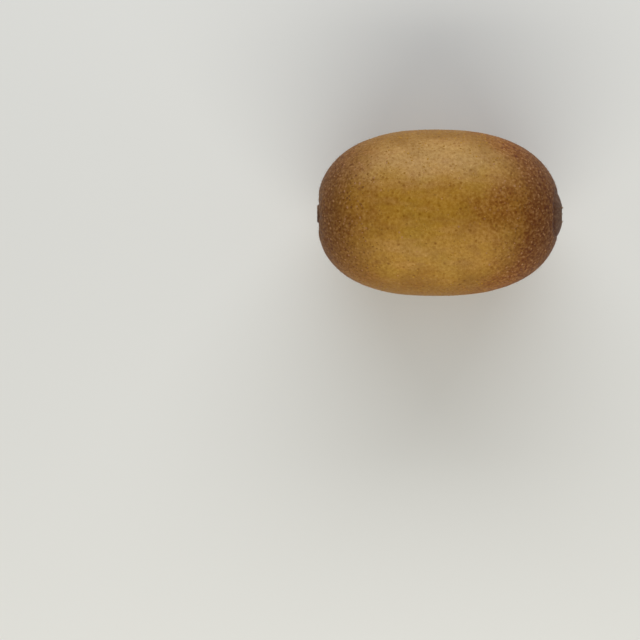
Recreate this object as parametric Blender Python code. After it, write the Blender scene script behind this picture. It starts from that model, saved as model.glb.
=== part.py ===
"""A whole golden kiwi fruit, lying on its side on a small flat spot. Metres, +Z up.

X runs along the fruit, from the stem end at -X to the blossom end at +X. The origin is on the
surface that the fruit rests on, under the middle of its box. The fruit grew as one piece, so it
is one solid: the stem scar, the nose and the dried styles are all part of it.
"""

import math
import random

import bmesh
import bpy
from mathutils import Matrix, Vector

# Body
BODY_LENGTH = 0.0720
WIDTH = 0.0495
THICKNESS = 0.0465
OUTLINE_POWER = 2.4  # 2 is an ellipse, and more is blunter
STEM_FULLNESS = 0.012  # share by which the stem half is fatter than the blossom half
FACET_DEPTH = 0.008  # share by which the three soft faces fall below a true oval
FACET_COUNT = 3
FACET_TURN = 0.6
BEND = 0.0004  # how far both ends lean to -Y
REST_DEPTH = 0.00025  # how far the skin is pressed flat where the fruit rests

# Stem end: a shallow hollow with the round scar of the stalk standing in it
HOLLOW_DEPTH = 0.0013
HOLLOW_RADIUS = 0.0050
SCAR_RADIUS = 0.0027
SCAR_HEIGHT = 0.0009
SCAR_EDGE = 0.0005
SCAR_CUP_DEPTH = 0.0004
SCAR_CUP_RADIUS = 0.0014
PUCKER_COUNT = 9
PUCKER_DEPTH = 0.00014
PUCKER_RADIUS = 0.0062
PUCKER_REACH = 0.0026

# Blossom end: a low round nose, a torn rim left by the flower, and a dimple inside it
NOSE_OFFSET = (-0.0005, 0.0040)  # how far along Y and Z the nose sits from the fruit's axis
NOSE_BLEND = (0.0090, 0.0200)  # radii between which the skin round the nose is drawn over with it
NOSE_HEIGHT = 0.0011
NOSE_INNER = 0.0042
NOSE_OUTER = 0.0073
GROOVE_RADIUS = 0.0070
GROOVE_DEPTH = 0.00020
GROOVE_REACH = 0.0006
RIM_RADIUS = 0.0031
RIM_HEIGHT = 0.0004
RIM_REACH = 0.0005
RIM_LOBES = 5
RIM_TURN = 0.9
RIM_TEAR = 0.3  # share of its height by which the rim rises and falls
DIMPLE_DEPTH = 0.0013
DIMPLE_RADIUS = 0.0022

# Dried styles, a stubby tuft rooted in the dimple
STYLE_COUNT = 15
STYLE_ROOT_RADIUS = 0.00038
STYLE_TIP_RADIUS = 0.00018
STYLE_SIDES = 5
STYLE_LENGTH = 0.0021
STYLE_SUNK = 0.0008
STYLE_SPREAD = 0.0016
STYLE_SPLAY = math.radians(38)
STYLE_SPLAY_SHARES = (0.7, 1.2)
STYLE_LENGTH_SHARES = (0.75, 1.1)
STYLE_SEED = 12

# Mesh
SEGMENTS = 60
BODY_RINGS = 27
CAP_RADIUS = 0.0090
CAP_RINGS = (
    0.0007, 0.0013, 0.0018, 0.0022, 0.0026, 0.0030, 0.0034, 0.0040, 0.0048, 0.0056, 0.0063, 0.0070, 0.0079,
)
MERGE_DISTANCE = 1e-6

SKIN_COLOUR = (0.30, 0.15, 0.025, 1.0)
SKIN_ROUGHNESS = 0.55

HALF_LENGTH = BODY_LENGTH / 2
HALF_WIDTH = WIDTH / 2
HALF_THICKNESS = THICKNESS / 2
GOLDEN_ANGLE = math.pi * (3 - math.sqrt(5))


def swell(distance, reach):
    """A smooth bump that is 1 at no distance and fades out over its reach."""
    return math.exp(-((distance / reach) ** 2))


def fall(value, start, end):
    """1 up to start, then smoothly down to 0 at end."""
    share = min(1.0, max(0.0, (value - start) / (end - start)))
    return 1 - share * share * (3 - 2 * share)


def end_height(radius):
    """How far along X from the middle the plain outline is at this distance from the axis."""
    return HALF_LENGTH * (1 - (radius / HALF_WIDTH) ** OUTLINE_POWER) ** (1 / OUTLINE_POWER)


def profile():
    """Points (x, radius) of the plain outline, from the stem pole to the blossom pole."""
    cap = [0.0, *CAP_RINGS, CAP_RADIUS]
    stem = [(-end_height(radius), radius) for radius in cap]
    blossom = [(end_height(radius), radius) for radius in reversed(cap)]
    end_angle = math.asin((CAP_RADIUS / HALF_WIDTH) ** (OUTLINE_POWER / 2))
    body = []
    for ring in range(1, BODY_RINGS):
        angle = end_angle + (math.pi - 2 * end_angle) * ring / BODY_RINGS
        along = math.cos(angle)
        x = -math.copysign(abs(along) ** (2 / OUTLINE_POWER), along) * HALF_LENGTH
        body.append((x, HALF_WIDTH * math.sin(angle) ** (2 / OUTLINE_POWER)))
    return stem + body + blossom


def stem_relief(radius, turn):
    """How far the skin stands out along the axis at the stem end."""
    scar = fall(radius, SCAR_RADIUS - SCAR_EDGE, SCAR_RADIUS + SCAR_EDGE)
    pucker = math.cos(PUCKER_COUNT * turn) * swell(radius - PUCKER_RADIUS, PUCKER_REACH)
    return (
        -HOLLOW_DEPTH * swell(radius, HOLLOW_RADIUS)
        + SCAR_HEIGHT * scar
        - SCAR_CUP_DEPTH * swell(radius, SCAR_CUP_RADIUS)
        + PUCKER_DEPTH * pucker
    )


def blossom_relief(radius, turn):
    """How far the skin stands out along the axis at the blossom end."""
    torn = 1 - RIM_TEAR + RIM_TEAR * math.cos(RIM_LOBES * turn + RIM_TURN) * math.cos(2 * turn)
    return (
        NOSE_HEIGHT * fall(radius, NOSE_INNER, NOSE_OUTER)
        - GROOVE_DEPTH * swell(radius - GROOVE_RADIUS, GROOVE_REACH)
        + RIM_HEIGHT * torn * swell(radius - RIM_RADIUS, RIM_REACH)
        - DIMPLE_DEPTH * swell(radius, DIMPLE_RADIUS)
    )


def drawn_over(x, radius, turn):
    """Where a point of the plain body lies once the skin round the nose is drawn over with it."""
    share = fall(radius, *NOSE_BLEND) if x > 0 else 0
    y = radius * math.cos(turn) + NOSE_OFFSET[0] * share
    z = radius * math.sin(turn) + NOSE_OFFSET[1] * share
    if share == 0:
        return x, radius, turn
    return end_height(math.hypot(y, z)), math.hypot(y, z), math.atan2(z, y)


def skin_point(x, radius, turn):
    """The place on the real skin of a point of the plain turned body."""
    relief = blossom_relief(radius, turn) if x > 0 else -stem_relief(radius, turn)
    x, radius, turn = drawn_over(x, radius, turn)
    along = x / HALF_LENGTH
    full = 1 - STEM_FULLNESS * along
    face = 1 - FACET_DEPTH * (1 + math.cos(FACET_COUNT * turn + FACET_TURN)) / 2
    across = radius * full * face
    flatness = HALF_THICKNESS / HALF_WIDTH
    y = across * math.cos(turn) - BEND * along * along
    return Vector((x + relief, y, across * flatness * math.sin(turn)))


def turned_body():
    """The closed skin: the outline spun round X, then moved to its real place."""
    bm = bmesh.new()
    chain = [bm.verts.new((x, radius, 0)) for x, radius in profile()]
    for first, second in zip(chain, chain[1:]):
        bm.edges.new((first, second))
    bmesh.ops.spin(
        bm, geom=bm.verts[:] + bm.edges[:], axis=(1, 0, 0), cent=(0, 0, 0),
        angle=2 * math.pi, steps=SEGMENTS, use_merge=True,
    )
    bmesh.ops.remove_doubles(bm, verts=bm.verts, dist=MERGE_DISTANCE)
    for vert in bm.verts:
        x, y, z = vert.co
        vert.co = skin_point(x, math.hypot(y, z), math.atan2(z, y))
    bmesh.ops.recalc_face_normals(bm, faces=bm.faces)
    return bm


def press_flat(bm):
    """Cuts the lowest skin off level, so that the fruit has a small flat spot to rest on."""
    level = min(vert.co.z for vert in bm.verts) + REST_DEPTH
    cut = bmesh.ops.bisect_plane(
        bm, geom=bm.verts[:] + bm.edges[:] + bm.faces[:],
        plane_co=(0, 0, level), plane_no=(0, 0, -1), clear_outer=True,
    )
    edges = [part for part in cut["geom_cut"] if isinstance(part, bmesh.types.BMEdge)]
    bmesh.ops.contextual_create(bm, geom=edges)
    bmesh.ops.recalc_face_normals(bm, faces=bm.faces)


def add_style(number, collection, luck):
    """One dried style: a tapered stub, rooted under the dimple's floor and leaning outwards."""
    share = math.sqrt((number + 0.5) / STYLE_COUNT)
    turn = number * GOLDEN_ANGLE
    lean = STYLE_SPLAY * share * luck.uniform(*STYLE_SPLAY_SHARES)
    length = STYLE_LENGTH * luck.uniform(*STYLE_LENGTH_SHARES)
    outwards = Vector((0, math.cos(turn), math.sin(turn)))
    direction = Vector((math.cos(lean), 0, 0)) + outwards * math.sin(lean)
    spread = STYLE_SPREAD * share
    root = skin_point(end_height(spread), spread, turn) - direction * STYLE_SUNK
    bm = bmesh.new()
    bmesh.ops.create_cone(
        bm, cap_ends=True, segments=STYLE_SIDES,
        radius1=STYLE_ROOT_RADIUS, radius2=STYLE_TIP_RADIUS, depth=length,
    )
    stand = Matrix.Translation((0, 0, length / 2))
    bm.transform(Matrix.Translation(root) @ direction.to_track_quat("Z", "Y").to_matrix().to_4x4() @ stand)
    mesh = bpy.data.meshes.new("style")
    bm.to_mesh(mesh)
    bm.free()
    collection.objects.link(bpy.data.objects.new("style", mesh))


def fuse(fruit, collection):
    """Joins the collection's shapes to the fruit, and removes them."""
    union = fruit.modifiers.new("styles", "BOOLEAN")
    union.operation = "UNION"
    union.operand_type = "COLLECTION"
    union.collection = collection
    union.solver = "EXACT"
    graph = bpy.context.evaluated_depsgraph_get()
    joined = bpy.data.meshes.new_from_object(fruit.evaluated_get(graph))
    fruit.modifiers.clear()
    fruit.data = joined
    for obj in list(collection.objects):
        bpy.data.objects.remove(obj)
    bpy.data.collections.remove(collection)


def skin_material():
    material = bpy.data.materials.new("golden_skin")
    material.use_nodes = True
    shader = material.node_tree.nodes["Principled BSDF"]
    shader.inputs["Base Color"].default_value = SKIN_COLOUR
    shader.inputs["Roughness"].default_value = SKIN_ROUGHNESS
    shader.inputs["Metallic"].default_value = 0.0
    return material


def set_on_origin(mesh):
    """Moves the mesh so that the middle of its box's lowest face is the origin."""
    corners = [vert.co for vert in mesh.vertices]
    low = [min(corner[axis] for corner in corners) for axis in range(3)]
    high = [max(corner[axis] for corner in corners) for axis in range(3)]
    middle = Vector(((low[0] + high[0]) / 2, (low[1] + high[1]) / 2, low[2]))
    mesh.transform(Matrix.Translation(-middle))


def build():
    for obj in list(bpy.data.objects):
        bpy.data.objects.remove(obj)
    bm = turned_body()
    press_flat(bm)
    mesh = bpy.data.meshes.new("kiwi_fruit")
    bm.to_mesh(mesh)
    bm.free()
    fruit = bpy.data.objects.new("kiwi_fruit", mesh)
    bpy.context.scene.collection.objects.link(fruit)

    styles = bpy.data.collections.new("styles")
    bpy.context.scene.collection.children.link(styles)
    luck = random.Random(STYLE_SEED)
    for number in range(STYLE_COUNT):
        add_style(number, styles, luck)
    fuse(fruit, styles)

    set_on_origin(fruit.data)
    fruit.data.materials.clear()
    fruit.data.materials.append(skin_material())
    fruit.data.shade_smooth()


build()
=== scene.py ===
"""Golden kiwi fruit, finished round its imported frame. Laid out as an add-on, and run as a script.

Lengths are metres in the part's own frame: +X runs from the stem end to the blossom end, and +Z up
from the surface that the fruit rests on. Materials and noise work in millimetres from the middle of
the fruit.
"""

import math

import bpy
import numpy as np
from bpy.props import FloatProperty, FloatVectorProperty, IntProperty, PointerProperty
from mathutils import Matrix, Vector


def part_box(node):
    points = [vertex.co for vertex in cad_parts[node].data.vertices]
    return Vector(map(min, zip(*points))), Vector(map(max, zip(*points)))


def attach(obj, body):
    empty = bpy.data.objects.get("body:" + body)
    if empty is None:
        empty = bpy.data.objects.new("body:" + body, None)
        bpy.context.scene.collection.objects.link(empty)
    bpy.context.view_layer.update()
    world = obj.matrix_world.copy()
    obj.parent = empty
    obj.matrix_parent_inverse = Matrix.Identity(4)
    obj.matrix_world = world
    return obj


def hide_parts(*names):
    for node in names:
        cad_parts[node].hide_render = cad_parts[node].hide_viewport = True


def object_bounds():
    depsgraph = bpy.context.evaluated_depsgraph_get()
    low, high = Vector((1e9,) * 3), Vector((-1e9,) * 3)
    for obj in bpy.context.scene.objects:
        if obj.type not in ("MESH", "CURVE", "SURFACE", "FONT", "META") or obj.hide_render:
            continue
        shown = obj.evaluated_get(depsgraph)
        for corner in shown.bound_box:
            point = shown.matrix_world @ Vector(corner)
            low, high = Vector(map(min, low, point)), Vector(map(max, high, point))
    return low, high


bl_info = {
    "name": "Golden Kiwi Fruit",
    "version": (1, 0, 0),
    "blender": (4, 5, 0),
    "location": "3D View > Sidebar > Kiwi",
    "description": "Finishes a whole golden kiwi fruit: its skin, dots, down, stem scar and dried flower",
    "category": "Add Mesh",
}

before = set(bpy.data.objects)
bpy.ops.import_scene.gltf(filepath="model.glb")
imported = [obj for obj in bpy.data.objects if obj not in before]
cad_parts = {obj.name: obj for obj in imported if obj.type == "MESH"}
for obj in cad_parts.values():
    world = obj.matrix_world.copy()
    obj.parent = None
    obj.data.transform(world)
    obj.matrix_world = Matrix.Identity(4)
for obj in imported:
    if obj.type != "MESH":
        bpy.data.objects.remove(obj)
CAD_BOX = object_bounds()
FRUIT_BODY = "root"
FRUIT_NODE = "kiwi_fruit"
MILLIMETRES = 1000.0

# Body, with the same rules and values as the solid's
OUTLINE_POWER = 2.4
STEM_FULLNESS = 0.012
FACET_DEPTH = 0.008
FACET_COUNT = 3
FACET_TURN = 0.6
BEND = 0.0004
REST_DEPTH = 0.00025

# Stem end
HOLLOW_DEPTH = 0.0013
HOLLOW_RADIUS = 0.0050
SCAR_RADIUS = 0.0027
SCAR_HEIGHT = 0.0009
SCAR_EDGE = 0.0005
SCAR_CUP_DEPTH = 0.0004
SCAR_CUP_RADIUS = 0.0014
PUCKER_COUNT = 9
PUCKER_DEPTH = 0.00014
PUCKER_RADIUS = 0.0062
PUCKER_REACH = 0.0026

# Cork disc on the stem scar
CORK_RADIUS = 0.0030
CORK_RINGS = 22
CORK_SEGMENTS = 96
CORK_LOBES = ((3, 0.05, 0.4), (7, 0.03, 1.1))  # count, share of the radius and phase of each
CORK_LIFT = 0.00010
CORK_SINK = 0.00020
CORK_SPOKES = 13
VESSEL_RADIUS = 0.0015
VESSEL_HEIGHT = 0.00012
GAP_RADIUS = 0.0021

# Blossom end, with a rounder nose than the solid's, as the photograph shows
NOSE_OFFSET = (-0.0005, 0.0040)
NOSE_BLEND = (0.0090, 0.0200)
NOSE_HEIGHT = 0.0010
NOSE_INNER = 0.0010
NOSE_OUTER = 0.0078
NOSE_LOBES = ((2, 0.035, 0.5), (3, 0.020, 2.0), (7, 0.012, 1.2))
GROOVE_RADIUS = 0.0070
GROOVE_DEPTH = 0.00030
GROOVE_REACH = 0.0006
RIM_RADIUS = 0.0031
RIM_HEIGHT = 0.00015
RIM_REACH = 0.0005
RIM_LOBES = 5
RIM_TURN = 0.9
RIM_TEAR = 0.3
DIMPLE_DEPTH = 0.0013
DIMPLE_RADIUS = 0.0022

# Dried flower: how deep its parts stand in the nose, and the flakes' ring as a share of the rim's
STRAND_SUNK = 0.00075
FLAKE_RING_SHARE = 0.92
FLAKE_SUNK_SHARE = 0.38

# Fine mesh
SEGMENTS = 320
BODY_RINGS = 200
CAP_RADIUS = 0.0090
CAP_RINGS = 44
OUTLINE_SAMPLES = 6000

# Zones of the skin in millimetres, each from where it starts to where it is full, and how far the
# edges of some wander
WANDER = 3.5
BLOSSOM_ZONE = (7.5, 25.0)
STEM_ZONE = (14.0, 33.0)
TIP_ZONE = (15.0, 34.0)
# Painted shade: the skin browns from the first height in millimetres down to the second, over the flanks and
# the underside
FLANK_SHADE_ZONE = (18.0, 8.0)
# Painted shade along the middle of the top: gone beyond the first distance in millimetres from the middle
# line, full within the second
MIDDLE_SHADE_ZONE = (9.5, 3.0)
# Painted sheen: paler, duller skin towards the side +Y, from the first distance in millimetres to the second
SHEEN_SIDE_ZONE = (4.0, 15.0)
DOME_ZONE = (7.4, 6.2)
HEART_ZONE = (4.2, 1.6)
HOLLOW_ZONE = (6.0, 2.4)
AT_BLOSSOM = (26.0, 30.0)
AT_STEM = (-26.0, -30.0)
# Tilt across the fruit and shift of the height at which the painted shade starts
FLANK_SHADE_TILT = 0.05
FLANK_SHADE_SHIFT = -1.1
# Shift of the painted middle shade's line towards the side +Y
MIDDLE_SHADE_SHIFT = 1.5

# How far the blossom end's skin reaches in along the top and low down: two heights, and the reach
# at each, in millimetres
TOP_TONGUE = (19.5, 23.0, -3.0, 4.0)
LOW_TONGUE = (16.0, 9.0, 0.0, 6.0)

# Round spots of the skin in millimetres: their spacing, and the radii over which each fades out
PITS = (1.50, 0.15, 0.60)
SPECKS = (0.62, 0.05, 0.28)
FLECKS = (1.45, 0.12, 0.50)
CELLS = (0.24, 0.02, 0.16)

# What covers the skin stays clear of the nose and the stem scar, in millimetres from their middles,
# and of the floor, in metres
NOSE_CLEAR = 6.6
SCAR_CLEAR = 3.6
SPOT_FLOOR_GAP = 0.0006
DOWN_FLOOR_GAP = 0.0030

# Photograph: its side, and where and how wide the fruit is in it
PHOTO_SIDE = 640
FRUIT_PIXEL = (438.0, 212.5)
FRUIT_WIDTH_PIXELS = 167.0

# Floor, lights and camera
FLOOR_SIDE = 4.0
FLOOR_ROUGHNESS = 0.8
LIGHT_DISTANCE = 0.60
LIGHT_SIZE = (0.90, 0.30)
UPPER_LIGHT_RISE = math.radians(23)
LOWER_LIGHT_RISE = math.radians(33)
UPPER_LIGHT_TINT = (0.98, 1.0, 1.0)
LOWER_LIGHT_TINT = (1.0, 0.98, 0.88)
SENSOR_WIDTH = 36.0

FLOAT = "NodeSocketFloat"
WHOLE = "NodeSocketInt"
FINISH = "NodeSocketMaterial"
GEOMETRY = "NodeSocketGeometry"
SKIN_IOR = 1.30
CORK_IOR = 1.50
SKIN_BUMP = 0.00007
SPOT_BUMP = 0.00003
FIBRE_BUMP = 0.00004
CORK_BUMP = 0.00012
NOISE_RANGE = (0.30, 0.70)
GOLDEN_ANGLE = math.pi * (3 - math.sqrt(5))
FULL_TURN = 2 * math.pi


def length(name, default, description):
    """A size in metres that the user can change."""
    return FloatProperty(
        name=name, description=description, default=default, min=0, unit="LENGTH", precision=5,
    )


def count(name, default, description):
    """A number of pieces that the user can change."""
    return IntProperty(name=name, description=description, default=default, min=1)


def power(name, default, description):
    """A light's power in watts that the user can change."""
    return FloatProperty(name=name, description=description, default=default, unit="POWER")


def colour(name, default, description):
    """A colour that the user can change."""
    return FloatVectorProperty(
        name=name, description=description, default=default, size=3, min=0, max=1, subtype="COLOR",
    )


class KiwiForm(bpy.types.PropertyGroup):
    """Sizes of the fruit's body and of its skin's relief."""

    body_length: length("Body length", 0.0720, "Length of the body without its nose")
    width: length("Width", 0.0495, "Width across the fruit as it lies")
    thickness: length("Thickness", 0.0465, "Height of the fruit before it is pressed flat")
    lump_height: length("Lump height", 0.00022, "Height of the broad, hardly seen lumps")
    lump_size: length("Lump size", 0.0110, "Distance between broad lumps")
    pore_height: length("Pore height", 0.00007, "Height of the skin's orange-peel relief")
    pore_size: length("Pore size", 0.0014, "Distance between the small swellings of the skin")
    wrinkle_height: length("Wrinkle height", 0.00030, "Height of the wrinkles that run into both ends")


class KiwiCover(bpy.types.PropertyGroup):
    """Sizes of what covers the skin."""

    dot_spacing: length("Dot spacing", 0.00092, "Least distance between dark dots")
    dot_radius: length("Dot radius", 0.00023, "Radius of a middling dark dot")
    dot_height: length("Dot height", 0.00004, "How far a dark dot stands out")
    fleck_spacing: length("Fleck spacing", 0.00130, "Least distance between pale flecks")
    fleck_radius: length("Fleck radius", 0.00022, "Radius of a middling pale fleck")
    fleck_height: length("Fleck height", 0.00004, "How far a pale fleck stands out")
    down_spacing: length("Down spacing", 0.00070, "Least distance between short hairs")
    down_length: length("Down length", 0.00055, "Length of a middling hair")
    down_radius: length("Down radius", 0.000018, "Radius of a hair at its root")
    seed: IntProperty(name="Seed", description="Changes where dots, flecks and hairs fall", default=7)


class KiwiFlower(bpy.types.PropertyGroup):
    """Sizes of the dried flower parts in the nose."""

    strand_count: count("Strands", 46, "Number of dried styles")
    strand_length: length("Strand length", 0.0018, "Length of a middling dried style")
    strand_radius: length("Strand radius", 0.00012, "Radius of a dried style at its root")
    strand_spread: length("Strand spread", 0.0017, "Radius of the patch that the styles grow from")
    flake_count: count("Flakes", 26, "Number of torn flakes round the rim")
    flake_length: length("Flake length", 0.0007, "Length of a middling flake")


class KiwiLook(bpy.types.PropertyGroup):
    """Colours of the fruit."""

    gold: colour("Gold", (0.394, 0.196, 0.017), "Skin along the middle")
    olive: colour("Olive", (0.364, 0.191, 0.015), "Greener patches of the skin")
    tan: colour("Tan", (0.450, 0.225, 0.060), "Warmer streaks of the skin")
    # Painted sheen on the side +Y, which faces the upper light
    painted_sheen: colour("Painted Sheen", (0.408, 0.232, 0.078), "Duller skin towards the side +Y")
    # Painted shade over the flanks, the underside and the middle of the top
    painted_shade: colour("Painted Shade", (0.215, 0.094, 0.006), "Browner skin towards the underside and along the top")
    rust: colour("Rust", (0.210, 0.069, 0.004), "Skin towards both ends")
    bark: colour("Bark", (0.132, 0.043, 0.006), "Skin at both ends")
    crease: colour("Crease", (0.055, 0.015, 0.008), "Folds round the nose and the stem scar")
    nose: colour("Nose", (0.094, 0.045, 0.025), "The low dome at the blossom end")
    dot: colour("Dot", (0.250, 0.120, 0.010), "Dark dots")
    fleck: colour("Fleck", (0.335, 0.162, 0.066), "Pale flecks near the ends")
    down: colour("Down", (0.300, 0.160, 0.060), "Short hairs")
    dried: colour("Dried flower", (0.085, 0.042, 0.018), "Dried styles and torn rim")
    cork: colour("Cork", (0.270, 0.165, 0.080), "Stem scar")


class KiwiStage(bpy.types.PropertyGroup):
    """Floor, light and camera."""

    floor: colour("Floor", (0.74, 0.74, 0.73), "Plain pale floor")
    upper_power: power("Upper light", 4.0, "Power of the light at the side +Y")
    lower_power: power("Lower light", 3.3, "Power of the light at the side -Y")
    sky: FloatProperty(name="Sky", description="Strength of the even light all round", default=0.245, min=0)
    lens: FloatProperty(name="Lens", description="Focal length in millimetres", default=190.0, min=10)


def rgba(value):
    return (*value, 1.0)


class Wiring:
    """Adds nodes to a tree. A value that isn't a socket is set on the node's own input."""

    def __init__(self, tree):
        self.tree = tree

    def add(self, kind, inputs=None, output=0, **settings):
        node = self.tree.nodes.new(kind)
        for name, value in settings.items():
            setattr(node, name, value)
        for key, value in (inputs or {}).items():
            socket = node.inputs[key]
            if isinstance(value, bpy.types.NodeSocket):
                self.tree.links.new(value, socket)
            else:
                socket.default_value = value
        return node.outputs[output]

    def math(self, operation, *values):
        return self.add("ShaderNodeMath", dict(enumerate(values)), operation=operation)

    def plus(self, total, *values):
        for value in values:
            total = self.math("ADD", total, value)
        return total

    def times(self, product, *values):
        for value in values:
            product = self.math("MULTIPLY", product, value)
        return product

    def minus(self, first, second):
        return self.math("SUBTRACT", first, second)

    def vector_math(self, operation, *values):
        return self.add("ShaderNodeVectorMath", dict(enumerate(values)), operation=operation)

    def scaled(self, vector, scale):
        return self.add("ShaderNodeVectorMath", {0: vector, "Scale": scale}, operation="SCALE")

    def combine(self, x, y, z):
        return self.add("ShaderNodeCombineXYZ", {"X": x, "Y": y, "Z": z})

    def split(self, vector):
        node = self.add("ShaderNodeSeparateXYZ", {"Vector": vector}).node
        return node.outputs["X"], node.outputs["Y"], node.outputs["Z"]

    def line(self, value, start, end, low, high, **settings):
        """Straight from low at start to high at end."""
        inputs = {"Value": value, "From Min": start, "From Max": end, "To Min": low, "To Max": high}
        return self.add("ShaderNodeMapRange", inputs, **settings)

    def step(self, value, start, end, low=0.0, high=1.0):
        """low up to start, then smoothly to high at end."""
        return self.line(value, start, end, low, high, interpolation_type="SMOOTHSTEP")

    def noise(self, place, scale, detail=2.0, roughness=0.5):
        inputs = {"Vector": place, "Scale": scale, "Detail": detail, "Roughness": roughness}
        return self.add("ShaderNodeTexNoise", inputs)

    def cloud(self, place, scale, low, high, detail=2.0, roughness=0.5):
        """Noise spread from low to high."""
        return self.line(self.noise(place, scale, detail, roughness), *NOISE_RANGE, low, high)

    def scatter(self, place, scale, detail):
        """A random vector for each place, round zero."""
        noise = self.noise(place, scale, detail).node.outputs["Color"]
        return self.vector_math("SUBTRACT", noise, (0.5, 0.5, 0.5))

    def circle(self, radius, turn, height=0.0):
        """The point of a circle at this turn."""
        across = self.times(radius, self.math("COSINE", turn))
        upwards = self.times(radius, self.math("SINE", turn))
        return self.combine(across, upwards, height)

    def polar(self, place, flatness, offset=(0.0, 0.0)):
        """Distance from a line along the fruit, and the turn about it, as if the fruit were round."""
        x, y, z = self.split(place)
        y = self.minus(y, offset[0] * MILLIMETRES)
        z = self.minus(self.math("DIVIDE", z, flatness), offset[1] * MILLIMETRES)
        distance = self.math("SQRT", self.plus(self.times(y, y), self.times(z, z)))
        return distance, self.math("ARCTAN2", z, y)

    def blend(self, factor, first, second):
        """first where the factor is 0, and second where it is 1."""
        inputs = {0: factor}
        for key, value in ((6, first), (7, second)):
            inputs[key] = value if isinstance(value, bpy.types.NodeSocket) else rgba(value)
        return self.add("ShaderNodeMix", inputs, output=2, data_type="RGBA")


class SkinWiring(Wiring):
    """Nodes of a material that lies on the fruit, in millimetres from its middle."""

    def __init__(self, tree, fruit):
        super().__init__(tree)
        self.flatness = fruit.flatness
        coordinates = self.add("ShaderNodeTexCoord", output="Object")
        shift = -fruit.middle * MILLIMETRES
        inputs = {"Vector": coordinates, "Location": shift, "Scale": (MILLIMETRES,) * 3}
        self.place = self.add("ShaderNodeMapping", inputs)
        self.x, self.y, self.z = self.split(self.place)

    def stretched(self, along, across):
        """The place with a pattern drawn out along the fruit, for noise of scale 1."""
        inputs = {"Vector": self.place, "Scale": (1 / along, 1 / across, 1 / across)}
        return self.add("ShaderNodeMapping", inputs)

    def spots(self, spacing, inner, outer):
        """1 in round spots and 0 between them, and a random number for each spot."""
        inputs = {"Vector": self.place, "Scale": 1 / spacing}
        distance = self.add("ShaderNodeTexVoronoi", inputs)
        luck = self.split(distance.node.outputs["Color"])[0]
        return self.step(distance, inner / spacing, outer / spacing, 1.0, 0.0), luck

    def toned(self, base, tone, amount=1.0):
        """The colour made darker and richer, or paler and duller, by a tone. 1 leaves it as it is."""
        root = self.add("ShaderNodeGamma", {"Color": base, "Gamma": 0.5})
        change = self.times(self.minus(tone, 1.0), amount)
        change = self.times(change, 0.5, self.split(root)[0])
        shifted = self.vector_math("ADD", root, self.combine(change, change, change))
        shifted = self.vector_math("MAXIMUM", shifted, (0.0, 0.0, 0.0))
        return self.add("ShaderNodeGamma", {"Color": shifted, "Gamma": 2.0})

    def spotted(self, base, spots, first, second):
        """The colour with round spots, each of its own tone between two, and where they are."""
        where, luck = self.spots(*spots)
        return self.toned(base, self.line(luck, 0.0, 1.0, first, second), where), where

    def ring(self, distance, radius, reach):
        """1 on a ring round a line along the fruit, fading to 0 within its reach."""
        away = self.math("ABSOLUTE", self.minus(distance, radius * MILLIMETRES))
        return self.step(away, 0.0, reach * MILLIMETRES, 1.0, 0.0)

    def lobed(self, radius, turn):
        """The distance from the nose's middle, evened out for the nose's uneven outline."""
        factor = 1.0
        for lobes, size, phase in NOSE_LOBES:
            wave = self.math("COSINE", self.math("MULTIPLY_ADD", turn, float(lobes), phase))
            factor = self.math("MULTIPLY_ADD", wave, size, factor)
        return self.times(radius, factor)


def new_material(name, fruit):
    """An empty material, and its wiring."""
    material = bpy.data.materials.new(name)
    material.use_nodes = True
    return material, SkinWiring(material.node_tree, fruit)


def connect(wiring, base, rough, height, depth, ior=SKIN_IOR):
    """Wires the shader's colour, its roughness and a bump of this depth from a height field."""
    shader = wiring.tree.nodes["Principled BSDF"]
    bump = wiring.add("ShaderNodeBump", {"Height": height, "Distance": depth})
    for name, socket in {"Base Color": base, "Roughness": rough, "Normal": bump}.items():
        wiring.tree.links.new(socket, shader.inputs[name])
    shader.inputs["IOR"].default_value = ior


def end_zones(wiring, wander):
    """1 on the skin of both ends and 0 between them, with tongues that reach in."""
    x, z = wiring.x, wiring.z
    tongue = wiring.plus(wiring.step(z, *TOP_TONGUE), wiring.step(z, *LOW_TONGUE))
    blossom = wiring.step(wiring.plus(x, wiring.plus(wander, tongue)), *BLOSSOM_ZONE)
    stem = wiring.step(wiring.minus(wander, x), *STEM_ZONE, 0.0, 0.85)
    return wiring.math("MAXIMUM", blossom, stem)


def plain_skin(wiring, look, wander, ends):
    """The skin's colour before its grain, with painted shade and painted sheen."""
    place, y, z = wiring.place, wiring.y, wiring.z
    # Painted shade, browner towards the flanks and the underside
    rise = wiring.plus(z, wiring.math("MULTIPLY_ADD", y, FLANK_SHADE_TILT, FLANK_SHADE_SHIFT), wander)
    painted_shade = wiring.step(rise, *FLANK_SHADE_ZONE, 0.0, 0.85)
    # Painted shade along the middle of the top
    aside = wiring.math("ABSOLUTE", wiring.plus(wiring.minus(y, MIDDLE_SHADE_SHIFT), wander))
    middle_shade = wiring.times(wiring.step(aside, *MIDDLE_SHADE_ZONE, 0.0, 0.28), wiring.step(z, 5.0, 15.0))
    # Painted sheen, paler and duller towards the side +Y, which faces the upper light
    painted_sheen = wiring.step(wiring.plus(y, wander), *SHEEN_SIDE_ZONE, 0.0, 0.6)
    patches = wiring.step(wiring.noise(place, 0.085, 1.5), 0.40, 0.66)
    streaks = wiring.step(wiring.noise(wiring.stretched(14.0, 3.2), 1.0, 1.0), 0.42, 0.68)
    body = wiring.blend(patches, look.gold, look.olive)
    body = wiring.blend(wiring.times(streaks, 0.35), body, look.tan)
    body = wiring.blend(painted_sheen, body, look.painted_sheen)
    body = wiring.blend(wiring.math("MAXIMUM", painted_shade, middle_shade), body, look.painted_shade)
    tips = wiring.step(wiring.math("ABSOLUTE", wiring.x), *TIP_ZONE)
    base = wiring.blend(ends, body, wiring.blend(tips, look.rust, look.bark))
    ruddy = wiring.step(wiring.noise(place, 0.22, 1.0), 0.48, 0.75, 0.0, 0.25)
    return wiring.blend(ruddy, base, look.rust)


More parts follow.
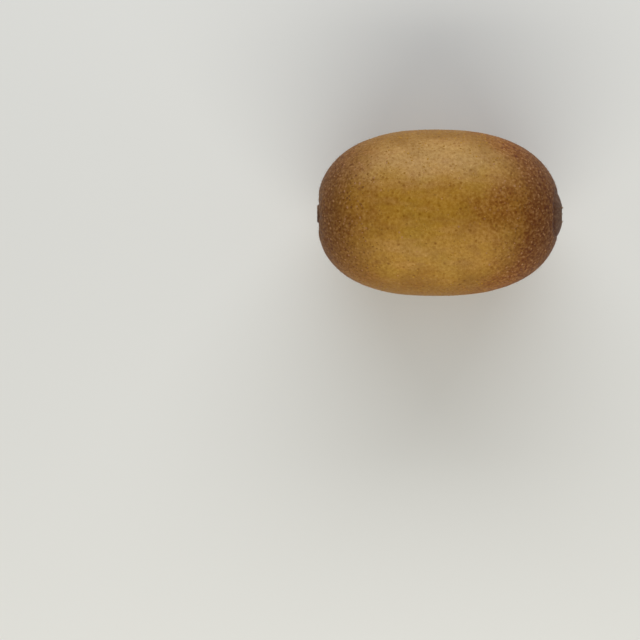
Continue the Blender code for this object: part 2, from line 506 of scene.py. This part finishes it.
def grained(wiring, look, base, ends):
    """The colour with its mottling, spots and pale grain. Also where its specks and pale grain are."""
    mottle = wiring.cloud(wiring.place, 1.05, 0.86, 1.14)
    base = wiring.toned(base, mottle, wiring.line(ends, 0.0, 1.0, 1.0, 1.3))
    base = wiring.spotted(base, PITS, 1.18, 0.60)[0]
    base, specks = wiring.spotted(base, SPECKS, 1.12, 0.80)
    blots = wiring.noise(wiring.place, 1.15)
    base = wiring.toned(base, wiring.line(blots, *NOISE_RANGE, 0.58, 1.42), ends)
    scurf = wiring.times(wiring.step(blots, 0.54, 0.70, 0.0, 0.18), ends)
    flecks, luck = wiring.spots(*FLECKS)
    flecks = wiring.times(flecks, ends, wiring.step(luck, 0.1, 0.9, 0.0, 0.8))
    grain = wiring.math("MAXIMUM", scurf, flecks)
    return wiring.blend(grain, base, look.fleck), specks, grain


def with_nose(wiring, look, base):
    """The colour with the nose's rays, the worn crease round it and its dried heart."""
    radius, turn = wiring.polar(wiring.place, wiring.flatness, NOSE_OFFSET)
    radius = wiring.lobed(radius, turn)
    at_blossom = wiring.step(wiring.x, *AT_BLOSSOM)
    dome = wiring.times(wiring.step(radius, *DOME_ZONE), at_blossom)
    base = wiring.blend(wiring.times(dome, 0.75), base, look.nose)
    around = wiring.circle(5.0, turn, wiring.times(radius, 0.25))
    base = wiring.toned(base, wiring.cloud(around, 1.0, 0.60, 1.45, 3.0, 0.6), dome)
    crease = wiring.times(wiring.ring(radius, GROOVE_RADIUS, 0.0011), at_blossom)
    worn = wiring.line(wiring.noise(wiring.place, 0.55), 0.35, 0.65, 0.35, 0.95)
    base = wiring.blend(wiring.times(crease, worn), base, look.crease)
    heart = wiring.times(wiring.step(radius, *HEART_ZONE), at_blossom)
    return wiring.blend(wiring.times(heart, 0.8), base, look.dried)


def skin_material(look, fruit):
    """Golden skin, olive and tan in patches, and rust-brown with a bark-like grain at both ends."""
    material, wiring = new_material("golden_skin", fruit)
    place = wiring.place
    wander = wiring.cloud(place, 0.11, -WANDER, WANDER)
    ends = end_zones(wiring, wander)
    base = plain_skin(wiring, look, wander, ends)
    base, specks, grain = grained(wiring, look, base, ends)
    base = with_nose(wiring, look, base)

    from_stem = wiring.polar(place, wiring.flatness)[0]
    hollow = wiring.times(wiring.step(from_stem, *HOLLOW_ZONE), wiring.step(wiring.x, *AT_STEM))
    base = wiring.blend(wiring.times(hollow, 0.65), base, look.crease)
    base, cells = wiring.spotted(base, CELLS, 0.86, 1.14)

    leather = wiring.noise(place, 2.2, 3.0, 0.6)
    shares = ((leather, 0.7), (cells, 0.35), (specks, 0.5), (grain, 0.8))
    height = wiring.plus(*(wiring.times(field, share) for field, share in shares))
    rough = wiring.plus(wiring.cloud(place, 1.6, 0.40, 0.56, 3.0), wiring.times(ends, 0.12))
    connect(wiring, base, rough, height, SKIN_BUMP)
    return material


def spot_material(name, first, second, at_ends, fruit):
    """Dry, rough spots whose tone runs between two colours from spot to spot, and others at the ends."""
    material, wiring = new_material(name, fruit)
    tone = wiring.add("ShaderNodeAttribute", output="Fac", attribute_name="tone")
    base = wiring.blend(tone, first, second)
    ends = wiring.step(wiring.math("ABSOLUTE", wiring.x), 12.0, 26.0, 0.0, 0.9)
    base = wiring.toned(wiring.blend(ends, base, at_ends), wiring.cloud(wiring.place, 3.0, 0.85, 1.15))
    rough = wiring.cloud(wiring.place, 5.0, 0.55, 0.75)
    connect(wiring, base, rough, wiring.noise(wiring.place, 9.0), SPOT_BUMP)
    return material


def fibre_material(name, base_colour, tip_colour, fruit, grain):
    """Dry plant fibre, streaked finely."""
    material, wiring = new_material(name, fruit)
    streak = wiring.step(wiring.noise(wiring.place, grain, 3.0, 0.6), 0.35, 0.68)
    base = wiring.blend(streak, base_colour, tip_colour)
    connect(wiring, base, wiring.cloud(wiring.place, grain, 0.6, 0.85), streak, FIBRE_BUMP)
    return material


def cork_material(look, fruit):
    """Stem scar: cork with a darker ring of vessels and a dark edge."""
    material, wiring = new_material("stem_cork", fruit)
    radius = wiring.polar(wiring.place, wiring.flatness)[0]
    grain = wiring.noise(wiring.place, 3.5, 4.0, 0.65)
    base = wiring.blend(wiring.step(grain, 0.35, 0.7), look.cork, look.bark)
    vessels = wiring.times(wiring.ring(radius, VESSEL_RADIUS, 0.0005), wiring.step(grain, 0.4, 0.6, 0.4, 0.9))
    base = wiring.blend(vessels, base, look.dried)
    base = wiring.blend(wiring.step(radius, 2.0, 2.9, 0.0, 0.85), base, look.crease)
    connect(wiring, base, wiring.line(grain, *NOISE_RANGE, 0.65, 0.9), grain, CORK_BUMP, CORK_IOR)
    return material


def swell(distance, reach):
    """A smooth bump that is 1 at no distance and fades out over its reach."""
    return np.exp(-((distance / reach) ** 2))


def fall(value, start, end):
    """1 up to start, then smoothly down to 0 at end."""
    part = np.clip((value - start) / (end - start), 0, 1)
    return 1 - part * part * (3 - 2 * part)


def lobed(radius, turn, lobes):
    """The radius of an uneven ring: each of its lobes is a count, a share of the radius and a phase."""
    return radius * (1 + sum(size * np.cos(number * turn + phase) for number, size, phase in lobes))


def stem_relief(radius, turn):
    """How far the skin stands out along the axis at the stem end."""
    pucker = np.cos(PUCKER_COUNT * turn) * swell(radius - PUCKER_RADIUS, PUCKER_REACH)
    return (
        -HOLLOW_DEPTH * swell(radius, HOLLOW_RADIUS)
        + SCAR_HEIGHT * fall(radius, SCAR_RADIUS - SCAR_EDGE, SCAR_RADIUS + SCAR_EDGE)
        - SCAR_CUP_DEPTH * swell(radius, SCAR_CUP_RADIUS)
        + PUCKER_DEPTH * pucker
    )


def blossom_relief(radius, turn):
    """How far the skin stands out along the axis at the blossom end."""
    radius = lobed(radius, turn, NOSE_LOBES)
    torn = 1 - RIM_TEAR + RIM_TEAR * np.cos(RIM_LOBES * turn + RIM_TURN) * np.cos(2 * turn)
    return (
        NOSE_HEIGHT * fall(radius, NOSE_INNER, NOSE_OUTER)
        - GROOVE_DEPTH * swell(radius - GROOVE_RADIUS, GROOVE_REACH)
        + RIM_HEIGHT * torn * swell(radius - RIM_RADIUS, RIM_REACH)
        - DIMPLE_DEPTH * swell(radius, DIMPLE_RADIUS)
    )


class Fruit:
    """The fruit's surface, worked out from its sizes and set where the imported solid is."""

    def __init__(self, form):
        self.half_length = form.body_length / 2
        self.half_width = form.width / 2
        self.flatness = form.thickness / form.width
        self.shift = np.zeros(3)
        rings = self.rings()
        low = rings.min(axis=(0, 1))
        high = rings.max(axis=(0, 1))
        cad_low, cad_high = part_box(FRUIT_NODE)
        self.shift = np.array((
            cad_low.x - low[0],
            (cad_low.y + cad_high.y) / 2 - (low[1] + high[1]) / 2,
            cad_low.z - low[2] - REST_DEPTH,
        ))
        self.middle = Vector(self.shift)

    def end_height(self, radius):
        """How far along X from the middle the plain outline is at this distance from the axis."""
        inside = np.maximum(0, 1 - (radius / self.half_width) ** OUTLINE_POWER)
        return self.half_length * inside ** (1 / OUTLINE_POWER)

    def outline(self):
        """(x, radius) of each ring between the poles, evenly spaced along the body's skin."""
        cap = np.linspace(0, CAP_RADIUS, CAP_RINGS + 1)[1:]
        start = math.asin((CAP_RADIUS / self.half_width) ** (OUTLINE_POWER / 2))
        angle = np.linspace(start, math.pi - start, OUTLINE_SAMPLES)
        along = np.cos(angle)
        x = -np.copysign(np.abs(along) ** (2 / OUTLINE_POWER), along) * self.half_length
        radius = self.half_width * np.sin(angle) ** (2 / OUTLINE_POWER)
        travelled = np.concatenate(([0], np.cumsum(np.hypot(np.diff(x), np.diff(radius)))))
        stops = np.linspace(0, travelled[-1], BODY_RINGS + 1)[1:-1]
        x = np.interp(stops, travelled, x)
        radius = np.interp(stops, travelled, radius)
        cap_x = self.end_height(cap)
        return np.concatenate((-cap_x, x, cap_x[::-1])), np.concatenate((cap, radius, cap[::-1]))

    def rings(self):
        """The skin's points, ring by ring from the stem end."""
        x, radius = self.outline()
        turn = np.linspace(0, FULL_TURN, SEGMENTS, endpoint=False)
        return self.skin(x[:, None], radius[:, None], turn[None, :])

    def skin(self, x, radius, turn):
        """The points of the skin that belong to these points of the plain turned body."""
        at_blossom = x > 0
        relief = np.where(at_blossom, blossom_relief(radius, turn), -stem_relief(radius, turn))
        drawn = np.where(at_blossom, fall(radius, *NOSE_BLEND), 0)
        y = radius * np.cos(turn) + NOSE_OFFSET[0] * drawn
        z = radius * np.sin(turn) + NOSE_OFFSET[1] * drawn
        radius = np.hypot(y, z)
        turn = np.arctan2(z, y)
        x = np.where(drawn > 0, self.end_height(radius), x)
        along = x / self.half_length
        across = radius * (1 - STEM_FULLNESS * along)
        across = across * (1 - FACET_DEPTH * (1 + np.cos(FACET_COUNT * turn + FACET_TURN)) / 2)
        y = across * np.cos(turn) - BEND * along * along
        z = across * self.flatness * np.sin(turn)
        return np.stack(np.broadcast_arrays(x + relief, y, z), axis=-1) + self.shift

    def end_point(self, side, radius, turn):
        """A point of the skin near the stem end, side -1, or the blossom end, side 1."""
        radius = np.asarray(radius, float)
        return Vector(self.skin(side * self.end_height(radius), radius, np.asarray(turn, float)))

    def end_frame(self, side, radius):
        """A matrix at an end's pole whose Z points out of the fruit."""
        across = self.end_point(side, radius, 0) - self.end_point(side, radius, math.pi)
        upwards = self.end_point(side, radius, math.pi / 2) - self.end_point(side, radius, -math.pi / 2)
        out = across.cross(upwards).normalized() * side
        turned = out.to_track_quat("Z", "Y").to_matrix().to_4x4()
        return Matrix.Translation(self.end_point(side, 1e-6, 0)) @ turned


def closed_mesh(name, rings, first_pole, last_pole):
    """A closed mesh of rings of points along +X, with a point at each end."""
    ring_count, around = rings.shape[:2]
    points = rings.reshape(-1, 3).tolist()
    points.append(tuple(first_pole))
    points.append(tuple(last_pole))
    faces = []
    for ring in range(ring_count - 1):
        here, there = ring * around, (ring + 1) * around
        for step in range(around):
            after = (step + 1) % around
            faces.append((here + step, here + after, there + after, there + step))
    last = (ring_count - 1) * around
    for step in range(around):
        after = (step + 1) % around
        faces.append((len(points) - 2, after, step))
        faces.append((len(points) - 1, last + step, last + after))
    mesh = bpy.data.meshes.new(name)
    mesh.from_pydata(points, [], faces)
    return mesh


class Growth(Wiring):
    """A Geometry Nodes tree with named inputs, besides its geometry and its material."""

    def __init__(self, name, sockets):
        tree = bpy.data.node_groups.new(name, "GeometryNodeTree")
        super().__init__(tree)
        tree.interface.new_socket("Geometry", in_out="INPUT", socket_type=GEOMETRY)
        for label, kind in {**sockets, "Material": FINISH}.items():
            tree.interface.new_socket(label, in_out="INPUT", socket_type=kind)
        tree.interface.new_socket("Geometry", in_out="OUTPUT", socket_type=GEOMETRY)
        self.given = tree.nodes.new("NodeGroupInput").outputs
        self.position = self.add("GeometryNodeInputPosition")

    def luck(self, low, high, salt):
        """A random number from low to high, drawn anew for each salt."""
        seed = self.plus(self.given["Seed"], float(salt))
        return self.add("FunctionNodeRandomValue", {2: low, 3: high, 8: seed}, output=1, data_type="FLOAT")

    def millimetres(self, fruit):
        """The place in millimetres from the middle of the fruit."""
        moved = self.vector_math("SUBTRACT", self.position, tuple(fruit.middle))
        return self.scaled(moved, MILLIMETRES)

    def euler(self, x, y, z):
        return self.add("FunctionNodeEulerToRotation", {"Euler": self.combine(x, y, z)})

    def moved(self, geometry, offset):
        return self.add("GeometryNodeSetPosition", {"Geometry": geometry, "Offset": offset})

    def placed(self, geometry, position):
        return self.add("GeometryNodeSetPosition", {"Geometry": geometry, "Position": position})

    def points(self, position):
        """As many points as the tree's Count, at these places."""
        return self.add("GeometryNodePoints", {"Count": self.given["Count"], "Position": position})

    def cone(self, sides, parts, top, bottom):
        """A cone as tall as the tree's Length, with its foot at the origin."""
        inputs = {
            "Vertices": sides, "Side Segments": parts, "Fill Segments": 1, "Depth": self.given["Length"],
            "Radius Top": top, "Radius Bottom": bottom,
        }
        return self.add("GeometryNodeMeshCone", inputs, fill_type="NGON")

    def turned(self, rotation, by):
        inputs = {"Rotation": rotation, "Rotate By": by}
        return self.add("FunctionNodeRotateRotation", inputs, rotation_space="LOCAL")

    def planted(self, points, instance, rotation, scale):
        """One copy of the instance at each point."""
        inputs = {"Points": points, "Instance": instance, "Rotation": rotation, "Scale": scale}
        return self.add("GeometryNodeInstanceOnPoints", inputs)

    def realised(self, geometry):
        return self.add("GeometryNodeRealizeInstances", {"Geometry": geometry})

    def finish(self, geometry):
        """Realises instances, shades them smooth, gives them their material and ends the tree."""
        smooth = self.add("GeometryNodeSetShadeSmooth", {"Geometry": self.realised(geometry)})
        done = self.add("GeometryNodeSetMaterial", {"Geometry": smooth, "Material": self.given["Material"]})
        self.tree.links.new(done, self.tree.nodes.new("NodeGroupOutput").inputs["Geometry"])
        return self.tree


def new_object(name, data):
    obj = bpy.data.objects.new(name, data)
    bpy.context.scene.collection.objects.link(obj)
    return obj


def grow(name, mesh, tree, values):
    """A new piece: what the tree makes of the mesh, as plain mesh with no modifier."""
    obj = new_object(name, mesh)
    modifier = obj.modifiers.new("growth", "NODES")
    modifier.node_group = tree
    for item in tree.interface.items_tree:
        if item.in_out == "INPUT" and item.name in values:
            modifier[item.identifier] = values[item.name]
    graph = bpy.context.evaluated_depsgraph_get()
    made = bpy.data.meshes.new_from_object(obj.evaluated_get(graph))
    obj.modifiers.clear()
    obj.data = made
    made.name = name
    return obj


def hold(piece):
    """The piece rides on the fruit's body."""
    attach(piece, FRUIT_BODY)


def relief_tree(fruit, rest_level):
    """Adds broad lumps, orange peel and wrinkles at the ends to a smooth skin."""
    labels = ("Lump Height", "Lump Size", "Pore Height", "Pore Size", "Wrinkle Height")
    growth = Growth("kiwi skin relief", dict.fromkeys(labels, FLOAT))
    given = growth.given
    place = growth.millimetres(fruit)

    def waves(size, detail):
        scale = growth.math("DIVIDE", 1.0, growth.times(size, MILLIMETRES))
        return growth.minus(growth.noise(place, scale, detail), 0.5)

    def wrinkles(side, offset):
        """Folds that run into the middle of one end."""
        radius, turn = growth.polar(place, fruit.flatness, offset)
        around = growth.circle(4.5, turn, growth.times(radius, 0.10))
        folds = growth.minus(growth.noise(around, 1.0, 3.0, 0.55), 0.5)
        near = growth.times(growth.step(radius, 14.0, 7.0), growth.step(radius, 2.6, 4.4))
        on_side = growth.step(growth.split(place)[0], 0.0, side * 10.0)
        return growth.times(folds, growth.times(near, on_side))

    lumps = growth.times(waves(given["Lump Size"], 2.0), given["Lump Height"])
    pores = growth.times(waves(given["Pore Size"], 1.0), given["Pore Height"])
    folds = growth.plus(wrinkles(1, NOSE_OFFSET), wrinkles(-1, (0.0, 0.0)))
    height = growth.plus(lumps, pores, growth.times(folds, given["Wrinkle Height"]))
    offset = growth.scaled(growth.add("GeometryNodeInputNormal"), height)
    raised = growth.moved(given["Geometry"], offset)
    x, y, z = growth.split(growth.position)
    pressed = growth.combine(x, y, growth.math("MAXIMUM", z, rest_level))
    return growth.finish(growth.placed(raised, pressed))


def scattered(growth, fruit, body_share, end_share, patch_scale, floor_gap):
    """Points on the skin, denser at the ends and in patches, clear of the floor, nose and stem scar."""
    given = growth.given
    place = growth.millimetres(fruit)
    x = growth.split(place)[0]
    ends = growth.step(growth.math("ABSOLUTE", x), 12.0, 31.0, body_share, end_share)
    patches = growth.line(growth.noise(place, patch_scale), 0.35, 0.65, 0.55, 1.0)
    from_nose = growth.polar(place, fruit.flatness, NOSE_OFFSET)[0]
    from_nose = growth.math("LESS_THAN", from_nose, NOSE_CLEAR)
    from_stem = growth.polar(place, fruit.flatness)[0]
    from_stem = growth.math("LESS_THAN", from_stem, SCAR_CLEAR)
    on_nose = growth.times(growth.math("GREATER_THAN", x, 20.0), from_nose)
    on_scar = growth.times(growth.math("LESS_THAN", x, -20.0), from_stem)
    high = growth.math("GREATER_THAN", growth.split(growth.position)[2], floor_gap)
    inputs = {
        "Mesh": given["Geometry"],
        "Selection": growth.minus(high, growth.plus(on_nose, on_scar)),
        "Distance Min": given["Spacing"],
        "Density Max": growth.math("DIVIDE", 1.0, growth.times(given["Spacing"], given["Spacing"])),
        "Density Factor": growth.times(ends, patches),
        "Seed": given["Seed"],
    }
    spread = growth.add("GeometryNodeDistributePointsOnFaces", inputs, distribute_method="POISSON").node
    return spread.outputs["Points"], spread.outputs["Rotation"]


def spot_tree(name, fruit, body_share, end_share):
    """Small flattened beads of uneven shape, sunk in the skin."""
    growth = Growth(name, {"Spacing": FLOAT, "Radius": FLOAT, "Height": FLOAT, "Seed": WHOLE})
    given = growth.given
    points, rotation = scattered(growth, fruit, body_share, end_share, 0.16, SPOT_FLOOR_GAP)
    bead = growth.add("GeometryNodeMeshUVSphere", {"Radius": 1.0, "Segments": 8, "Rings": 4})
    bead = growth.moved(bead, growth.scatter(growth.position, 0.7, 1.0))
    size = growth.math("POWER", growth.luck(0.0, 1.0, 1), 2.0)
    radius = growth.times(given["Radius"], growth.line(size, 0.0, 1.0, 0.55, 1.55))
    scale = growth.combine(growth.times(radius, growth.luck(0.8, 1.5, 2)), radius, given["Height"])
    spin = growth.euler(0.0, 0.0, growth.luck(0.0, FULL_TURN, 3))
    beads = growth.planted(points, bead, growth.turned(rotation, spin), scale)
    inputs = {"Geometry": beads, "Name": "tone", "Value": growth.luck(0.0, 1.0, 4)}
    toned = growth.add("GeometryNodeStoreNamedAttribute", inputs, data_type="FLOAT", domain="INSTANCE")
    return growth.finish(toned)


def down_tree(fruit):
    """Short bent hairs, mostly at the ends."""
    growth = Growth("kiwi down", {"Spacing": FLOAT, "Length": FLOAT, "Radius": FLOAT, "Seed": WHOLE})
    given = growth.given
    points, rotation = scattered(growth, fruit, 0.015, 1.0, 0.22, DOWN_FLOOR_GAP)
    hair = growth.cone(3, 3, growth.times(given["Radius"], 0.25), given["Radius"])
    part = growth.math("DIVIDE", growth.split(growth.position)[2], given["Length"])
    lean = growth.times(growth.times(part, part), growth.times(given["Length"], 0.6))
    hair = growth.moved(hair, growth.combine(lean, 0.0, 0.0))
    tilt = growth.euler(growth.luck(-0.4, 0.4, 1), growth.luck(-0.2, 0.7, 2), growth.luck(0.0, FULL_TURN, 3))
    scale = growth.combine(1.0, 1.0, growth.luck(0.5, 1.5, 4))
    return growth.finish(growth.planted(points, hair, growth.turned(rotation, tilt), scale))


def strand_tree():
    """A tuft of dried styles round the origin, growing along +Z and leaning outwards."""
    sockets = {"Count": WHOLE, "Length": FLOAT, "Radius": FLOAT, "Spread": FLOAT, "Seed": WHOLE}
    growth = Growth("kiwi dried styles", sockets)
    given = growth.given
    number = growth.add("GeometryNodeInputIndex")
    part = growth.math("SQRT", growth.math("DIVIDE", growth.plus(number, 0.5), given["Count"]))
    turn = growth.times(number, GOLDEN_ANGLE)
    points = growth.points(growth.circle(growth.times(part, given["Spread"]), turn))
    strand = growth.cone(5, 7, growth.times(given["Radius"], 0.45), given["Radius"])
    lean = growth.times(part, growth.luck(0.05, 0.50, 1))
    facing = growth.euler(growth.luck(-0.2, 0.2, 2), lean, growth.plus(turn, growth.luck(-0.4, 0.4, 3)))
    tall = growth.times(growth.line(part, 0.0, 1.0, 1.1, 0.8), growth.luck(0.75, 1.0, 6))
    scale = growth.combine(growth.luck(0.8, 1.3, 4), growth.luck(0.8, 1.3, 5), tall)
    tuft = growth.realised(growth.planted(points, strand, facing, scale))
    high = growth.math("MAXIMUM", growth.split(growth.position)[2], 0.0)
    sway = growth.scatter(growth.scaled(growth.position, 1100.0), 1.0, 2.0)
    return growth.finish(growth.moved(tuft, growth.scaled(sway, growth.times(high, 0.8))))


def flake_tree():
    """Torn flakes in a ring round the origin, standing up and curling inwards."""
    growth = Growth("kiwi rim flakes", {"Count": WHOLE, "Length": FLOAT, "Radius": FLOAT, "Seed": WHOLE})
    given = growth.given
    number = growth.add("GeometryNodeInputIndex")
    turn = growth.math("DIVIDE", growth.times(number, FULL_TURN), given["Count"])
    turn = growth.plus(turn, growth.luck(-0.10, 0.10, 1))
    points = growth.points(growth.circle(growth.times(given["Radius"], growth.luck(0.94, 1.05, 2)), turn))
    flake = growth.cone(6, 5, growth.times(given["Length"], 0.10), growth.times(given["Length"], 0.30))
    x, y, z = growth.split(growth.position)
    part = growth.math("DIVIDE", z, given["Length"])
    curl = growth.times(growth.times(part, part), growth.times(given["Length"], -0.5))
    flake = growth.placed(flake, growth.combine(growth.plus(growth.times(x, 0.22), curl), y, z))
    facing = growth.euler(growth.luck(-0.3, 0.3, 3), growth.luck(-0.75, 0.15, 4), turn)
    scale = growth.combine(1.0, growth.luck(0.7, 1.6, 5), growth.luck(0.5, 1.2, 6))
    return growth.finish(growth.planted(points, flake, facing, scale))


def stem_scar(fruit, look):
    """The cork disc left by the stalk: a closed shell whose edge is sunk in the skin."""
    radius = np.linspace(0, CORK_RADIUS, CORK_RINGS + 1)[1:, None]
    turn = np.linspace(0, FULL_TURN, CORK_SEGMENTS, endpoint=False)[None, :]
    ragged = lobed(radius, turn, CORK_LOBES)
    surface = fruit.skin(-fruit.end_height(ragged), ragged, turn)
    spokes = 0.5 + 0.5 * np.cos(CORK_SPOKES * turn + 1.5 * np.sin(2 * turn))
    vessels = spokes * swell(radius - VESSEL_RADIUS, 0.0004)
    gaps = 0.6 * (1 - spokes) * swell(radius - GAP_RADIUS, 0.0003)
    edge = fall(radius, 0.0026, CORK_RADIUS)
    lift = CORK_LIFT * fall(radius, 0.0024, CORK_RADIUS) - CORK_SINK * (1 - edge)
    front = surface.copy()
    front[..., 0] -= lift + VESSEL_HEIGHT * (vessels - gaps)
    back = surface.copy()
    back[..., 0] += 2 * CORK_SINK
    pole = fruit.end_point(-1, 0.0, 0.0)
    poles = (pole - Vector((CORK_LIFT, 0, 0)), pole + Vector((2 * CORK_SINK, 0, 0)))
    mesh = closed_mesh("stem_scar", np.concatenate((front, back[::-1])), *poles)
    mesh.materials.append(cork_material(look, fruit))
    mesh.shade_smooth()
    return new_object("stem_scar", mesh)


class KIWI_OT_skin(bpy.types.Operator):
    """Build the fruit's skin and the cork scar of its stem"""

    bl_idname = "kiwi.skin"
    bl_label = "Skin and Stem Scar"

    def execute(self, context):
        form = context.scene.kiwi_form
        look = context.scene.kiwi_look
        fruit = Fruit(form)
        rings = fruit.rings()
        poles = [fruit.end_point(side, 0.0, 0.0) for side in (-1, 1)]
        skin = grow("skin", closed_mesh("skin", rings, *poles), relief_tree(fruit, CAD_BOX[0].z), {
            "Lump Height": form.lump_height, "Lump Size": form.lump_size, "Pore Height": form.pore_height,
            "Pore Size": form.pore_size, "Wrinkle Height": form.wrinkle_height,
            "Material": skin_material(look, fruit),
        })
        hold(skin)
        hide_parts(FRUIT_NODE)
        hold(stem_scar(fruit, look))
        return {"FINISHED"}


class KIWI_OT_cover(bpy.types.Operator):
    """Cover the skin with dark dots, pale flecks and short down"""

    bl_idname = "kiwi.cover"
    bl_label = "Dots, Flecks and Down"

    def execute(self, context):
        cover = context.scene.kiwi_cover
        look = context.scene.kiwi_look
        fruit = Fruit(context.scene.kiwi_form)
        skin = bpy.data.objects["skin"].data
        dots = grow("dark_dots", skin.copy(), spot_tree("kiwi dots", fruit, 0.50, 1.0), {
            "Spacing": cover.dot_spacing, "Radius": cover.dot_radius, "Height": cover.dot_height,
            "Seed": cover.seed,
            "Material": spot_material("dark_dot", look.dot, look.gold, look.bark, fruit),
        })
        flecks = grow("pale_flecks", skin.copy(), spot_tree("kiwi flecks", fruit, 0.10, 1.0), {
            "Spacing": cover.fleck_spacing, "Radius": cover.fleck_radius, "Height": cover.fleck_height,
            "Seed": cover.seed + 1,
            "Material": spot_material("pale_fleck", look.tan, look.fleck, look.fleck, fruit),
        })
        down = grow("down", skin.copy(), down_tree(fruit), {
            "Spacing": cover.down_spacing, "Length": cover.down_length, "Radius": cover.down_radius,
            "Seed": cover.seed + 2,
            "Material": fibre_material("kiwi_down", look.down, look.rust, fruit, 2.0),
        })
        for piece in (dots, flecks, down):
            hold(piece)
        return {"FINISHED"}


class KIWI_OT_flower(bpy.types.Operator):
    """Set the dried styles and the torn flakes of the flower in the nose"""

    bl_idname = "kiwi.flower"
    bl_label = "Dried Flower"

    def execute(self, context):
        flower = context.scene.kiwi_flower
        look = context.scene.kiwi_look
        seed = context.scene.kiwi_cover.seed
        fruit = Fruit(context.scene.kiwi_form)
        dried = fibre_material("dried_flower", look.dried, look.down, fruit, 4.0)
        pole = fruit.end_frame(1, RIM_RADIUS)
        styles = grow("dried_styles", bpy.data.meshes.new("styles"), strand_tree(), {
            "Count": flower.strand_count, "Length": flower.strand_length, "Radius": flower.strand_radius,
            "Spread": flower.strand_spread, "Seed": seed, "Material": dried,
        })
        styles.data.transform(pole @ Matrix.Translation((0, 0, -STRAND_SUNK)))
        flake_ring = RIM_RADIUS * FLAKE_RING_SHARE
        flakes = grow("rim_flakes", bpy.data.meshes.new("flakes"), flake_tree(), {
            "Count": flower.flake_count, "Length": flower.flake_length, "Radius": flake_ring,
            "Seed": seed, "Material": dried,
        })
        rim = fruit.end_point(1, flake_ring, math.pi) + fruit.end_point(1, flake_ring, 0)
        height = (pole.inverted() @ (rim / 2)).z - flower.flake_length * FLAKE_SUNK_SHARE
        flakes.data.transform(pole @ Matrix.Translation((0, 0, height)))
        hold(styles)
        hold(flakes)
        return {"FINISHED"}


def add_light(name, side, rise, power, tint, target):
    """A long soft light at one side of the target, along the fruit and facing it."""
    light = bpy.data.lights.new(name, "AREA")
    light.shape = "RECTANGLE"
    light.size, light.size_y = LIGHT_SIZE
    light.energy = power
    light.color = tint
    obj = new_object(name, light)
    direction = Vector((0, side * math.cos(rise), math.sin(rise)))
    obj.location = target + direction * LIGHT_DISTANCE
    obj.rotation_euler = direction.to_track_quat("Z", "Y").to_euler()


def add_camera(lens, form, middle):
    """The photograph's view: straight down, with the fruit where it is in the photograph."""
    pixel = form.width / FRUIT_WIDTH_PIXELS
    data = bpy.data.cameras.new("camera")
    data.lens = lens
    data.sensor_width = SENSOR_WIDTH
    camera = new_object("camera", data)
    right = (FRUIT_PIXEL[0] - PHOTO_SIDE / 2) * pixel
    down = (FRUIT_PIXEL[1] - PHOTO_SIDE / 2) * pixel
    distance = PHOTO_SIDE * pixel * lens / SENSOR_WIDTH
    camera.location = middle + Vector((-right, down, distance))
    bpy.context.scene.camera = camera


class KIWI_OT_stage(bpy.types.Operator):
    """Set up the floor, the lights and the camera"""

    bl_idname = "kiwi.stage"
    bl_label = "Floor, Light and Camera"

    def execute(self, context):
        stage = context.scene.kiwi_stage
        form = context.scene.kiwi_form
        middle = Fruit(form).middle

        bpy.ops.mesh.primitive_plane_add(size=FLOOR_SIDE)
        floor = context.object
        floor.name = "floor"
        paint = bpy.data.materials.new("pale_floor")
        paint.use_nodes = True
        shader = paint.node_tree.nodes["Principled BSDF"]
        shader.inputs["Base Color"].default_value = rgba(stage.floor)
        shader.inputs["Roughness"].default_value = FLOOR_ROUGHNESS
        floor.data.materials.append(paint)

        world = bpy.data.worlds.new("sky")
        world.use_nodes = True
        sky = world.node_tree.nodes["Background"]
        sky.inputs["Color"].default_value = (1, 1, 1, 1)
        sky.inputs["Strength"].default_value = stage.sky
        context.scene.world = world
        context.scene.view_settings.view_transform = "Standard"

        add_light("upper_side", 1, UPPER_LIGHT_RISE, stage.upper_power, UPPER_LIGHT_TINT, middle)
        add_light("lower_side", -1, LOWER_LIGHT_RISE, stage.lower_power, LOWER_LIGHT_TINT, middle)
        add_camera(stage.lens, form, middle)
        return {"FINISHED"}


OPERATORS = (KIWI_OT_skin, KIWI_OT_cover, KIWI_OT_flower, KIWI_OT_stage)


class KIWI_PT_sidebar(bpy.types.Panel):
    """Lists the fruit's pieces in the order in which they are built"""

    bl_idname = "KIWI_PT_sidebar"
    bl_label = "Golden Kiwi Fruit"
    bl_space_type = "VIEW_3D"
    bl_region_type = "UI"
    bl_category = "Kiwi"

    def draw(self, context):
        for operator in OPERATORS:
            self.layout.operator(operator.bl_idname)


SETTINGS = {
    "kiwi_form": KiwiForm, "kiwi_cover": KiwiCover, "kiwi_flower": KiwiFlower,
    "kiwi_look": KiwiLook, "kiwi_stage": KiwiStage,
}


def register():
    for kind in (*SETTINGS.values(), *OPERATORS, KIWI_PT_sidebar):
        bpy.utils.register_class(kind)
    for name, kind in SETTINGS.items():
        setattr(bpy.types.Scene, name, PointerProperty(type=kind))


def unregister():
    for name in SETTINGS:
        delattr(bpy.types.Scene, name)
    for kind in reversed((*SETTINGS.values(), *OPERATORS, KIWI_PT_sidebar)):
        bpy.utils.unregister_class(kind)


def main():
    """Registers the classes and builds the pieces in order."""
    register()
    bpy.ops.kiwi.stage()
    bpy.ops.kiwi.skin()
    bpy.ops.kiwi.cover()
    bpy.ops.kiwi.flower()


if __name__ == "__main__":
    main()
